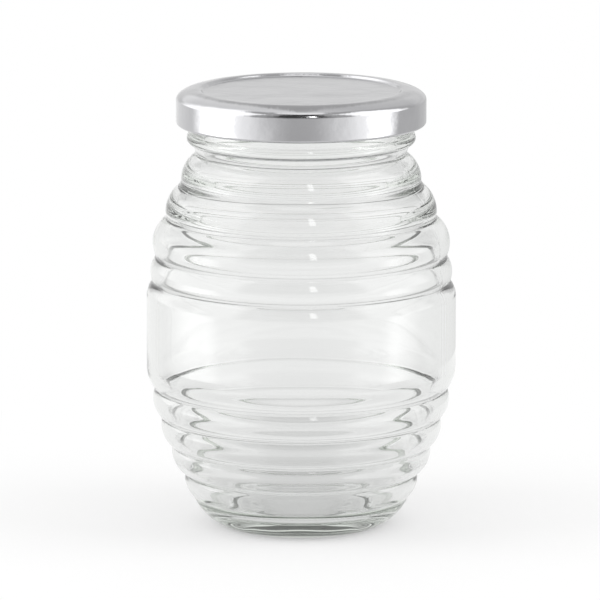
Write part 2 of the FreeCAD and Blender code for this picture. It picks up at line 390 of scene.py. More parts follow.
class Value:
    """A number that a shader works out, with the usual operators."""

    def __init__(self, graph: "Graph", socket: Any) -> None:
        """Wrap a socket of a graph."""
        self.graph = graph
        self.socket = socket

    def maths(self, operation: str, *others: Any) -> "Value":
        """The result of a Math node whose first number is this one.

        Args:
            operation: What the node does.
            others: Its other numbers.

        Returns:
            The result.
        """
        sockets = dict(enumerate((self,) + others))
        node = self.graph.node("ShaderNodeMath", {"operation": operation}, sockets)
        return Value(self.graph, node.outputs[0])

    def __add__(self, other: Any) -> "Value":
        """This number plus another."""
        return self.maths("ADD", other)

    def __mul__(self, other: Any) -> "Value":
        """This number times another."""
        return self.maths("MULTIPLY", other)

    __radd__ = __add__
    __rmul__ = __mul__

    def __sub__(self, other: Any) -> "Value":
        """This number less another."""
        return self.maths("SUBTRACT", other)

    def __neg__(self) -> "Value":
        """This number with its sign turned."""
        return self * -1.0

    def __rsub__(self, other: Any) -> "Value":
        """A plain number less this one."""
        return -self + other

    def __abs__(self) -> "Value":
        """This number without its sign."""
        return self.maths("ABSOLUTE")

    def at_least(self, other: Any) -> "Value":
        """The larger of this number and another."""
        return self.maths("MAXIMUM", other)

    def fade(self, start: float, end: float) -> "Value":
        """A soft step over this number.

        Args:
            start: Where the step is 0.
            end: Where it is 1.

        Returns:
            The step.
        """
        settings = {"interpolation_type": "SMOOTHSTEP"}
        sockets = {"Value": self, "From Min": start, "From Max": end}
        return Value(self.graph, self.graph.node("ShaderNodeMapRange", settings, sockets).outputs[0])

    def toward(self, other: Any, share: "Value") -> "Value":
        """A mix of this number and another, by a share of the other."""
        return self * (1 - share) + share * other


class Graph:
    """The nodes of one material or of the world."""

    def __init__(self, owner: Any) -> None:
        """Start an empty graph.

        Args:
            owner: The material or the world whose graph it is.
        """
        owner.use_nodes = True
        self.tree = owner.node_tree
        self.tree.nodes.clear()

    def node(self, kind: str, settings: dict[str, Any] | None = None,
             sockets: dict[Any, Any] | None = None) -> bpy.types.Node:
        """Add a node.

        Args:
            kind: The node's type.
            settings: Its own settings, which are set before its sockets.
            sockets: Values or links of its inputs, by name or number.

        Returns:
            The node.
        """
        node = self.tree.nodes.new(kind)
        for name, value in (settings or {}).items():
            setattr(node, name, value)
        for key, value in (sockets or {}).items():
            if isinstance(value, Value):
                value = value.socket
            if isinstance(value, bpy.types.NodeSocket):
                self.tree.links.new(value, node.inputs[key])
            else:
                node.inputs[key].default_value = value
        return node

    def value(self, socket: Any) -> Value:
        """Wrap a socket so that it can be worked with."""
        return Value(self, socket)

    def coordinates(self) -> Any:
        """The place of a point on its object."""
        return self.node("ShaderNodeTexCoord").outputs["Object"]

    def noise(self, scale: float, detail: float = 2.0, place: Any = None) -> Value:
        """A soft random pattern.

        Args:
            scale: How many patches there are to the metre.
            detail: How many finer layers lie over them.
            place: Where it is read, if not at the point's own place.

        Returns:
            The pattern, from 0 to 1.
        """
        sockets = {"Vector": place or self.coordinates(), "Scale": scale, "Detail": detail}
        return self.value(self.node("ShaderNodeTexNoise", None, sockets).outputs["Fac"])

    def stretched(self, scale: Vector) -> Any:
        """The place of a point, with its axes stretched."""
        sockets = {"Vector": self.coordinates(), "Scale": scale}
        return self.node("ShaderNodeMapping", None, sockets).outputs[0]

    def distance(self, place: Any) -> Value:
        """How far a place lies from the origin."""
        node = self.node("ShaderNodeVectorMath", {"operation": "LENGTH"}, {0: place})
        return self.value(node.outputs["Value"])

    def bump(self, height: Value, strength: float, distance: float) -> Any:
        """Give a surface a relief.

        Args:
            height: The relief, from 0 to 1.
            strength: How much of it is kept.
            distance: How deep it is, in metres.

        Returns:
            The socket of the new normal.
        """
        sockets = {"Height": height, "Strength": strength, "Distance": distance}
        return self.node("ShaderNodeBump", None, sockets).outputs["Normal"]

    def mixed(self, share: Value, first: Colour, second: Colour) -> Any:
        """Mix two colours.

        Args:
            share: The share of the second colour.
            first: The first colour.
            second: The second colour.

        Returns:
            The socket of the mix.
        """
        sockets = {"Factor": share, 6: (*first, 1.0), 7: (*second, 1.0)}
        return self.node("ShaderNodeMix", {"data_type": "RGBA"}, sockets).outputs[2]

    def emission(self, strength: float) -> Any:
        """A white glow of a given strength."""
        return self.node("ShaderNodeEmission", None, {"Strength": strength}).outputs[0]

    def diffuse(self, grey: float) -> Any:
        """A dull grey."""
        return self.node("ShaderNodeBsdfDiffuse", None, {"Color": (grey, grey, grey, 1.0)}).outputs[0]

    def blend(self, share: Value, first: Any, second: Any) -> Any:
        """A mix of two shaders, by a share of the second."""
        return self.node("ShaderNodeMixShader", None, {0: share, 1: first, 2: second}).outputs[0]

    def finish_with(self, surface: Any, volume: Any = None) -> None:
        """Lead a shader to the output.

        Args:
            surface: The shader of the surface.
            volume: The shader of the inside, where there is one.
        """
        output = self.node("ShaderNodeOutputMaterial", None, {"Surface": surface})
        if volume is not None:
            self.tree.links.new(volume, output.inputs["Volume"])


@dataclass(frozen=True)
class ClearGlass:
    """Flint glass, clear where it is thin and faintly green-grey where it is thick."""

    name: str = "clear_flint_glass"
    tint: Colour = (0.992, 0.994, 0.993)
    refraction: float = 1.52
    depth_colour: Colour = (0.61, 0.74, 0.57)
    depth_density: float = 7.0
    chill_scale: float = 55.0
    chill_height: float = 0.45
    flow_scale: float = 160.0
    flow_share: float = 0.06
    ripple: float = 0.00003
    ripple_strength: float = 0.6

    def material(self) -> bpy.types.Material:
        """Make the material.

        Returns:
            The material.
        """
        material = bpy.data.materials.new(self.name)
        graph = Graph(material)
        chill = graph.noise(self.chill_scale, 1.0, graph.stretched((1.0, 1.0, self.chill_height)))
        flow = graph.noise(self.flow_scale, 1.0)
        relief = graph.bump(chill + flow * self.flow_share, self.ripple_strength, self.ripple)
        glass = graph.node("ShaderNodeBsdfPrincipled", None, {
            "Base Color": (*self.tint, 1.0),
            "Roughness": 0.0,
            "IOR": self.refraction,
            "Transmission Weight": 1.0,
            "Normal": relief,
        })
        depth = graph.node("ShaderNodeVolumeAbsorption", None, {
            "Color": (*self.depth_colour, 1.0),
            "Density": self.depth_density,
        })
        graph.finish_with(glass.outputs[0], depth.outputs[0])
        return material


@dataclass(frozen=True)
class SilverLacquer:
    """Silver lacquer on tinplate: a soft metal gloss with the faint grain of rolled sheet."""

    name: str = "silver_lacquer"
    light: Colour = (0.53, 0.53, 0.542)
    dark: Colour = (0.49, 0.49, 0.502)
    gloss: float = 0.085
    gloss_spread: float = 0.03
    cloud_scale: float = 90.0
    grain_scale: float = 900.0
    grain_length: float = 0.06
    grain_share: float = 0.1
    peel_scale: float = 300.0
    peel_share: float = 0.2
    wave_scale: float = 75.0
    relief: float = 0.0006
    relief_strength: float = 0.5

    def material(self) -> bpy.types.Material:
        """Make the material.

        Returns:
            The material.
        """
        material = bpy.data.materials.new(self.name)
        graph = Graph(material)
        cloud = graph.noise(self.cloud_scale, 3.0)
        grain = graph.noise(self.grain_scale, 2.0, graph.stretched((1.0, self.grain_length, 1.0)))
        wave = graph.noise(self.wave_scale, 1.0)
        peel = graph.noise(self.peel_scale, 1.0)
        height = grain * self.grain_share + peel * self.peel_share + wave
        relief = graph.bump(height, self.relief_strength, self.relief)
        metal = graph.node("ShaderNodeBsdfPrincipled", None, {
            "Base Color": graph.mixed(cloud.fade(0.3, 0.7), self.dark, self.light),
            "Metallic": 1.0,
            "Roughness": cloud * self.gloss_spread + grain * self.gloss_spread + self.gloss,
            "Normal": relief,
        })
        graph.finish_with(metal.outputs[0])
        return material


@dataclass(frozen=True)
class SealCompound:
    """The off-white, rubbery compound that is flowed into the cap's channel."""

    name: str = "seal_compound"
    light: Colour = (0.80, 0.79, 0.75)
    dark: Colour = (0.70, 0.69, 0.64)
    flow_scale: float = 300.0
    smoothest: float = 0.42
    roughness_spread: float = 0.15
    relief: float = 0.00008
    relief_strength: float = 0.3

    def material(self) -> bpy.types.Material:
        """Make the material.

        Returns:
            The material.
        """
        material = bpy.data.materials.new(self.name)
        graph = Graph(material)
        flow = graph.noise(self.flow_scale, 3.0)
        rubber = graph.node("ShaderNodeBsdfPrincipled", None, {
            "Base Color": graph.mixed(flow, self.dark, self.light),
            "Roughness": flow * self.roughness_spread + self.smoothest,
            "Normal": graph.bump(flow, self.relief_strength, self.relief),
        })
        graph.finish_with(rubber.outputs[0])
        return material


# ---------------------------------------------------------------- glass

@dataclass(frozen=True)
class Ring:
    """One ring of the body: its height, its crown's height in it, how far the crown reaches from
    the heel or the neck out to the label band, and the depth of its own groove."""

    height: float
    crown: float
    fullness: float
    groove: float


@dataclass
class Glass:
    """The jar itself, with its rings, its label band, its finish and its threads."""

    foot_radius: float = 21.0
    foot_width: float = 1.8
    foot_round: float = 0.5
    push_up: float = 2.8
    push_up_flat: float = 5.0
    push_up_bow: float = 0.72
    base_thickness: float = 4.2
    floor_edge: float = 5.6
    floor_fall: float = 0.25
    floor_round: float = 9.0
    floor_open: float = 30.0
    heel_radius: float = 28.85
    heel_height: float = 7.6
    heel_curve: float = 12.9
    lower_rings: tuple[Ring, ...] = (
        Ring(6.05, 4.45, 0.180, 0.30),
        Ring(7.40, 5.90, 0.463, 0.40),
        Ring(7.75, 5.50, 0.692, 0.40),
        Ring(7.85, 5.10, 0.868, 0.67),
    )
    upper_rings: tuple[Ring, ...] = (
        Ring(6.80, 2.65, 0.923, 0.60),
        Ring(10.70, 3.65, 0.876, 0.95),
        Ring(9.05, 1.15, 0.613, 1.05),
        Ring(7.65, 0.85, 0.300, 1.00),
    )
    band_radius: float = 41.1
    band_height: float = 18.8
    band_foot: float = 6.0
    band_shoulder: float = 4.0
    groove_rounding: float = 0.45
    bead_rounding: float = 0.3
    land_rounding: float = 0.4
    ring_wall: float = 3.1
    groove_wall: float = 2.3
    band_wall: float = 2.7
    neck_radius: float = 27.85
    neck_wall: float = 2.3
    neck_rise: float = 2.7
    bead_radius: float = 30.3
    bead_curve: float = 1.6
    mouth_radius: float = 26.3
    land_radius: float = 29.5
    finish_height: float = 11.85
    mouth_depth: float = 10.5
    rim_inner_round: float = 0.8
    rim_outer_round: float = 1.2
    thread_count: int = 4
    thread_depth: float = 1.4
    thread_height: float = 1.8
    thread_crest: float = 0.72
    thread_angle: float = 58.0
    thread_rise: float = 2.0
    thread_root: float = 0.6
    thread_level: float = 110.4
    thread_steps: int = 24
    steps: int = 168
    arch_parts: int = 8
    wall_parts: int = 9
    rim_step: float = 15.0
    seam_turn: float = 67.0
    seam_width: float = 0.34
    seam_height: float = 0.04
    seam_foot: float = 1.0
    seam_reach: float = 0.001
    knurl_height: float = 0.35
    knurl_margin: float = 0.2
    knurl_sole: float = 0.02
    barrel_swell: float = 0.6
    barrel_fall: float = 14.0
    barrel_power: float = 1.9
    barrel_margin: float = 1.4
    barrel_neck_margin: float = 1.2
    barrel_neck_drop: float = 3.0
    settling: float = 0.10
    settling_patch: float = 21.0
    settling_fade: float = 9.0
    settling_top: float = 2.0
    heel_depth: float = 1.2
    groove_depth: float = 1.0
    band_depth: float = 1.3
    neck_depth: float = 1.1
    finish: ClearGlass = field(default_factory=ClearGlass)

    def __post_init__(self) -> None:
        """Work out the heights that follow."""
        self.band_bottom = self.heel_height + sum(r.height for r in self.lower_rings) + self.band_foot
        self.band_top = self.band_bottom + self.band_height
        self.neck_z = self.band_top + self.band_shoulder + sum(r.height for r in self.upper_rings)
        self.bead_z = self.neck_z + self.neck_rise + self.bead_curve
        self.rim_z = self.bead_z + self.finish_height

    def ring_points(self, rings: tuple[Ring, ...], bottom: float, base: float,
                    grooves_above: bool) -> tuple[list[Point], list[Point]]:
        """Crowns and grooves of a run of rings, from the bottom up.

        Args:
            rings: The rings.
            bottom: The height where they start.
            base: The radius at their narrow end.
            grooves_above: Whether each ring's own groove lies above its crown.

        Returns:
            The crowns and the grooves.
        """
        crowns: list[Point] = []
        grooves: list[Point] = []
        height = bottom
        for ring in rings:
            radius = base + ring.fullness * (self.band_radius - base)
            crowns.append((radius, height + ring.crown))
            grooves.append((radius - ring.groove, height + ring.height if grooves_above else height))
            height += ring.height
        return crowns, grooves

    def lower(self) -> tuple[list[Point], list[Point]]:
        """Crowns and grooves below the label band."""
        return self.ring_points(self.lower_rings, self.heel_height, self.heel_radius, True)

    def upper(self) -> tuple[list[Point], list[Point]]:
        """Crowns and grooves above the label band."""
        bottom = self.band_top + self.band_shoulder
        return self.ring_points(self.upper_rings, bottom, self.neck_radius, False)

    def underside(self) -> Outline:
        """Draw the underside, from the axis out to the foot.

        Returns:
            A new outline.
        """
        foot_inner = (self.foot_radius - self.foot_width, 0.0)
        flat_edge = (self.push_up_flat, self.push_up)
        half_way = ((flat_edge[0] + foot_inner[0]) / 2, self.push_up * self.push_up_bow)
        falling = heading((0.0, 1.6), (1.0, 0.0))
        arch = flowing([flat_edge, half_way, foot_inner], (1.0, 0.0), falling, self.arch_parts)
        outline = Outline((0.0, self.push_up))
        outline.add(straight(outline.points[0], flat_edge, 2))
        outline.add(arch)
        outline.add(straight(foot_inner, (self.foot_radius, 0.0), 2), self.foot_round)
        return outline

    def outside(self, outline: Outline) -> None:
        """Draw the outside, from the foot to the top of the land.

        Args:
            outline: The outline so far, which ends at the foot.
        """
        crowns, tops = self.lower()
        heel = (self.heel_radius, self.heel_height)
        outline.add(bowed_arc((self.foot_radius, 0.0), heel, self.heel_curve), self.foot_round)
        below = heel
        for crown, top in zip(crowns, tops):
            outline.add(crown_arc(below, crown), self.groove_rounding)
            outline.add(crown_arc(top, crown)[::-1])
            below = top
        bottom = (self.band_radius, self.band_bottom)
        top_of_band = (self.band_radius, self.band_top)
        outline.add(crown_arc(below, bottom), self.groove_rounding)
        outline.add(straight(bottom, top_of_band, 8))
        crowns, feet = self.upper()
        neck = (self.neck_radius, self.neck_z)
        outline.add(crown_arc(feet[0], top_of_band)[::-1])
        for crown, foot, above in zip(crowns, feet, feet[1:] + [neck]):
            outline.add(crown_arc(foot, crown), self.groove_rounding)
            outline.add(crown_arc(above, crown)[::-1])
        bead_low = (self.bead_radius - self.bead_curve, self.bead_z - self.bead_curve)
        bead_crown = (self.bead_radius, self.bead_z)
        bead_top = (self.land_radius, self.bead_z + self.bead_curve)
        outline.add(straight(neck, bead_low, 3), self.groove_rounding)
        outline.add(crown_arc(bead_low, bead_crown), self.bead_rounding)
        outline.add(crown_arc(bead_top, bead_crown)[::-1])
        land_top = (self.land_radius, self.rim_z - self.rim_outer_round)
        outline.add(straight(bead_top, land_top, 8), self.land_rounding)

    def rim(self, outline: Outline) -> None:
        """Draw the rounded rim, from the land to the mouth.

        Args:
            outline: The outline so far, which ends at the top of the land.
        """
        outer, inner = self.rim_outer_round, self.rim_inner_round
        outer_centre = (self.land_radius - outer, self.rim_z - outer)
        inner_centre = (self.mouth_radius + inner, self.rim_z - inner)
        outline.add(turned(outer_centre, (outer, outer), 0.0, 90.0, self.rim_step))
        outline.add(straight(outline.points[-1], (inner_centre[0], self.rim_z)))
        outline.add(turned(inner_centre, (inner, inner), 90.0, 180.0, self.rim_step))

    def wall_points(self, crowns: list[Point], grooves: list[Point]) -> list[Point]:
        """The inside's points behind each groove and each crown of a run of rings.

        Args:
            crowns: The crowns, from the bottom up.
            grooves: The grooves on either side of them, one more than the crowns.

        Returns:
            The points, from the bottom up.
        """
        points: list[Point] = []
        for crown, low, high in zip(crowns, grooves, grooves[1:]):
            points.append((low[0] - self.groove_wall, low[1]))
            points.append((crown[0] - self.ring_wall, (low[1] + high[1]) / 2))
        return points

    def floor_points(self, side: float) -> list[Point]:
        """The inside's points round the base's corner and across the floor.

        Args:
            side: The inside radius above the corner.

        Returns:
            The points, inwards to the flat middle.
        """
        centre = (side - self.floor_round, self.floor_edge + self.floor_round)
        radii = (self.floor_round, self.floor_round)
        points = turned(centre, radii, -self.floor_open, -90.0, self.floor_open)
        floor = self.push_up + self.base_thickness
        fallen = floor - (floor - self.floor_edge) * self.floor_fall
        return points + [((centre[0] + self.push_up_flat) / 2, fallen), (self.push_up_flat, floor)]

    def inside(self, outline: Outline) -> None:
        """Draw the inside, from the mouth down to the middle of the floor.

        Args:
            outline: The outline so far, which ends at the mouth.
        """
        crowns, tops = self.lower()
        upper_crowns, feet = self.upper()
        band_top = (self.band_radius - self.band_wall, self.band_top)
        band_bottom = (self.band_radius - self.band_wall, self.band_bottom)
        upper = [band_top] + self.wall_points(upper_crowns, feet + [(self.neck_radius, self.neck_z)])
        upper.append((self.neck_radius - self.neck_wall, self.neck_z))
        upper.append((self.mouth_radius, self.rim_z - self.mouth_depth))
        lower = self.wall_points(crowns[1:], tops)
        lower.append((tops[-1][0] - self.groove_wall, tops[-1][1]))
        lower.append(band_bottom)
        down, inward = (0.0, -1.0), (-1.0, 0.0)
        outline.add(straight(outline.points[-1], upper[-1], 4))
        outline.add(flowing(upper[::-1], down, down, self.wall_parts))
        outline.add(straight(band_top, band_bottom, 8))
        lower.reverse()
        floor = self.floor_points(lower[-1][0])
        outline.add(flowing(lower + floor, down, inward, self.wall_parts))
        outline.add(straight(outline.points[-1], (0.0, outline.points[-1][1]), 2))

    def section(self) -> list[Point]:
        """The whole section of the glass.

        Returns:
            Its points, from the axis under the base round to the axis on the floor.
        """
        outline = self.underside()
        self.outside(outline)
        self.rim(outline)
        self.inside(outline)
        return outline.points

    def thread(self, turn: float) -> bpy.types.Object:
        """Make one inclined thread.

        Args:
            turn: Where its middle is, in degrees round the jar.

        Returns:
            The thread, its root inside the land's glass.
        """
        root = self.land_radius - self.thread_root
        crest = self.land_radius + self.thread_depth
        low, high = self.thread_height / 2, self.thread_crest / 2
        section = [(root, -low), (crest, -high), (crest, high), (root, low)]
        angle = math.radians(self.thread_angle)
        piece = Bench.turn_section("thread", section, self.thread_steps, angle, closed=True)
        tilt = math.atan2(self.thread_rise, self.land_radius * angle)
        Bench.pick_all(piece)
        centre = (0.0, 0.0, 0.0)
        for degrees, axis in ((self.thread_angle / 2, "Z"), (-math.degrees(tilt), "X"), (-turn, "Z")):
            value = math.radians(degrees)
            bpy.ops.transform.rotate(value=value, orient_axis=axis, center_override=centre)
        bpy.ops.transform.translate(value=(0.0, 0.0, self.thread_level * MM))
        Bench.done()
        return piece

    def raise_seams(self, piece: bpy.types.Object) -> None:
        """Raise the two lines where the halves of the mould meet.

        Args:
            piece: The glass.
        """
        turn = math.radians(self.seam_turn)
        across = (math.cos(turn), math.sin(turn), 0.0)
        outwards = (math.sin(turn), -math.cos(turn), 0.0)
        for offset in (-self.seam_width, 0.0, self.seam_width):
            Bench.pick_all(piece)
            place = tuple(c * offset * MM for c in across)
            bpy.ops.mesh.bisect(plane_co=place, plane_no=across, threshold=MERGE)
            Bench.done()
        for side in (1.0, -1.0):
            Bench.pick(piece, lambda x, y, z: (
                abs(x * across[0] + y * across[1]) < self.seam_reach
                and side * (x * outwards[0] + y * outwards[1]) > self.outer_reach(z)
                and self.seam_foot < z < self.bead_z + self.bead_curve
            ))
            move = tuple(c * side * self.seam_height * MM for c in outwards)
            bpy.ops.transform.translate(value=move)
            Bench.done()

    def outer_reach(self, height: float) -> float:
        """A radius that lies a little inside the outer face, as a rough barrel.

        Args:
            height: The height.

        Returns:
            The radius.
        """
        middle = (self.band_bottom + self.band_top) / 2
        if height > self.neck_z - self.barrel_neck_drop:
            return self.neck_radius - self.barrel_neck_margin
        share = abs(height - middle) / (self.neck_z - middle)
        barrel = self.band_radius + self.barrel_swell - self.barrel_fall * share ** self.barrel_power
        return min(self.band_radius - self.barrel_margin, barrel)

    def knurl_foot(self, piece: bpy.types.Object) -> None:
        """Notch the ring that the jar stands on, as stippled feet are.

        Args:
            piece: The glass.
        """
        pitch = FULL_TURN / self.steps
        inner = self.foot_radius - self.foot_width + self.knurl_margin
        outer = self.foot_radius - self.knurl_margin

        def notched(x: float, y: float, z: float) -> bool:
            """Whether a point lies on every other line across the foot.

            Args:
                x: Its place across.
                y: Its place in depth.
                z: Its height.

            Returns:
                True where it does.
            """
            if z > self.knurl_sole or not inner < math.hypot(x, y) < outer:
                return False
            return round(math.atan2(y, x) / pitch) % 2 == 1

        Bench.pick(piece, notched)
        bpy.ops.transform.translate(value=(0.0, 0.0, self.knurl_height * MM))
        Bench.done()

    def settle_inside(self, piece: bpy.types.Object) -> None:
        """Let the inner wall wander a little, as blown glass does.

        Args:
            piece: The glass.
        """
        low, high = self.heel_height, self.neck_z - self.settling_top
        group = piece.vertex_groups.new(name="inner_wall")
        for vertex in piece.data.vertices:
            x, y, z = (c / MM for c in vertex.co)
            share = min(z - low, high - z) / self.settling_fade
            if share > 0 and math.hypot(x, y) < self.inner_limit(z):
                group.add([vertex.index], min(1.0, share), "REPLACE")
        Bench.hold(piece)
        texture = bpy.data.textures.new("settling", "CLOUDS")
        texture.noise_scale = self.settling_patch * MM
        texture.noise_depth = 1
        wander = piece.modifiers.new("settling", "DISPLACE")
        wander.texture = texture
        wander.texture_coords = "LOCAL"
        wander.vertex_group = group.name
        wander.mid_level = 0.5
        wander.strength = self.settling * MM
        bpy.ops.object.modifier_apply(modifier=wander.name)
        piece.vertex_groups.clear()

    def inner_limit(self, height: float) -> float:
        """A rough radius between the two faces, straight from groove to groove.

        Behind the fullest crowns the inner face reaches past it, and doesn't wander there.

        Args:
            height: The height where it is wanted.

        Returns:
            The radius.
        """
        tops = self.lower()[1]
        feet = self.upper()[1]
        band = self.band_radius - self.band_depth
        stops = [(self.heel_height, self.heel_radius - self.heel_depth)]
        stops += [(top[1], top[0] - self.groove_depth) for top in tops]
        stops += [(self.band_bottom, band), (self.band_top, band)]
        stops += [(foot[1], foot[0] - self.groove_depth) for foot in feet]
        stops += [(self.neck_z, self.neck_radius - self.neck_depth)]
        for (low, first), (high, second) in zip(stops, stops[1:]):
            if low <= height <= high:
                return first + (second - first) * (height - low) / (high - low)
        return stops[0][1]

    def build(self) -> bpy.types.Object:
        """Make the glass and dress it.

        Returns:
            The finished piece.
        """
        piece = Bench.turn_section("jar_glass", self.section(), self.steps)
        self.knurl_foot(piece)
        self.settle_inside(piece)
        for number in range(self.thread_count):
            Bench.join_solid(piece, self.thread(number * 360.0 / self.thread_count))
        self.raise_seams(piece)
        return Bench.dress(piece, self.finish.material())


# ---------------------------------------------------------------- cap

@dataclass
class Cap:
    """The pressed twist-off cap, with its sunk panel, its rolled edge and its lugs."""

    top: float = 116.9
    height: float = 9.3
    radius: float = 33.1
    sheet: float = 0.25
    panel_radius: float = 25.8
    panel_recess: float = 0.75
    crest_radius: float = 26.9
    step_ease: float = 0.36
    step_parts: int = 10
    shoulder_drop: float = 2.75
    roll: float = 1.6
    lug_count: int = 4
    lug_turn: float = -17.0
    lug_angle: float = 15.0
    lug_radius: float = 30.0
    steps: int = 192
    roll_step: float = 12.0
    lug_top: float = 0.95
    lug_reach: float = 0.55
    finish: SilverLacquer = field(default_factory=SilverLacquer)

    def face(self, inset: float) -> list[Point]:
        """The panel, its step, the crest and the shoulder, from the axis outwards.

        Args:
            inset: How far the face lies inside the cap's outer face.

        Returns:
            The points.
        """
        shift = inset / 2
        edge = (self.panel_radius + shift, self.top - self.panel_recess - inset)
        crest = (self.crest_radius + shift, self.top - inset)
        outline = Outline((0.0, edge[1]))
        outline.add(straight(outline.points[0], edge, 6))
        lean = (crest[0] - edge[0]) * self.step_ease
        poles = (edge, (edge[0] + lean, edge[1]), (crest[0] - lean, crest[1]), crest)
        outline.points += bezier(poles, self.step_parts)
        centre = (crest[0], self.top - self.shoulder_drop)
        radii = (self.radius - inset - crest[0], crest[1] - centre[1])
        outline.add(turned(centre, radii, 90.0, 0.0))
        return outline.points

    def section(self) -> list[Point]:
        """The whole section of the sheet.

        Returns:
            Its points, from the axis on top to the axis underneath.
        """
        half = self.roll / 2
        bottom = self.top - self.height
        centre = (self.radius - half, bottom + half)
        upper_face = self.face(0.0)
        outline = Outline(upper_face[0])
        outline.add(upper_face)
        outline.add(straight(outline.points[-1], (self.radius, centre[1]), 4))
        inner = self.radius - self.sheet
        meeting = math.degrees(math.acos((inner - centre[0]) / half))
        outline.add(turned(centre, (half, half), 0.0, meeting - 360.0, self.roll_step))
        outline.add(straight(outline.points[-1], (inner, self.top - self.shoulder_drop), 4))
        outline.add(self.face(self.sheet)[::-1])
        return outline.points

    def press_lugs(self, piece: bpy.types.Object) -> None:
        """Press the lugs inwards from the rolled edge.

        Args:
            piece: The cap.
        """
        bottom = self.top - self.height
        turns = [self.lug_turn + n * 360.0 / self.lug_count for n in range(self.lug_count)]

        def in_lug(x: float, y: float, z: float) -> bool:
            """Whether a point is on the inner half of the roll, in a lug.

            Args:
                x: Its place across.
                y: Its place in depth.
                z: Its height.

            Returns:
                True where it is.
            """
            if z > bottom + self.roll * self.lug_top:
                return False
            if math.hypot(x, y) > self.radius - self.roll * self.lug_reach:
                return False
            angle = math.degrees(math.atan2(y, x))
            return any(abs((angle - t + 180.0) % 360.0 - 180.0) < self.lug_angle / 2 for t in turns)

        Bench.pick(piece, in_lug)
        scale = self.lug_radius / (self.radius - self.roll)
        bpy.ops.transform.resize(value=(scale, scale, 1.0), center_override=(0.0, 0.0, 0.0))
        Bench.done()

    def build(self) -> bpy.types.Object:
        """Make the cap and dress it.

        Returns:
            The finished piece.
        """
        piece = Bench.turn_section("twist_cap", self.section(), self.steps)
        self.press_lugs(piece)
        return Bench.dress(piece, self.finish.material())


@dataclass
class Seal:
    """The ring of compound between the rim and the cap."""

    inner_radius: float = 27.05
    width: float = 3.3
    bottom: float = 115.8
    crest: float = 116.61
    shoulder_foot: float = 114.15
    channel_radius: float = 32.81
    steps: int = 144
    finish: SealCompound = field(default_factory=SealCompound)

    def section(self) -> list[Point]:
        """The section of the ring: flat below, and curved as the cap's channel above.

        Returns:
            Its points, once round.
        """
        radii = (self.channel_radius - self.inner_radius, self.crest - self.shoulder_foot)
        centre = (self.inner_radius, self.shoulder_foot)
        outer_turn = math.degrees(math.acos(self.width / radii[0]))
        outline = Outline((self.inner_radius, self.bottom))
        outline.add(straight(outline.points[0], (self.inner_radius + self.width, self.bottom), 4))
        curve = turned(centre, radii, outer_turn, 90.0, 6.0)
        outline.points += curve
        return outline.points

    def build(self) -> bpy.types.Object:
        """Make the ring and dress it.

        Returns:
            The finished piece.
        """
        piece = Bench.turn_section("seal_compound_ring", self.section(), self.steps, closed=True)
        return Bench.dress(piece, self.finish.material())


# ---------------------------------------------------------------- studio

class Side(Enum):
    """The sides of the object that a lamp can stand on."""

    LEFT = -1
    RIGHT = 1


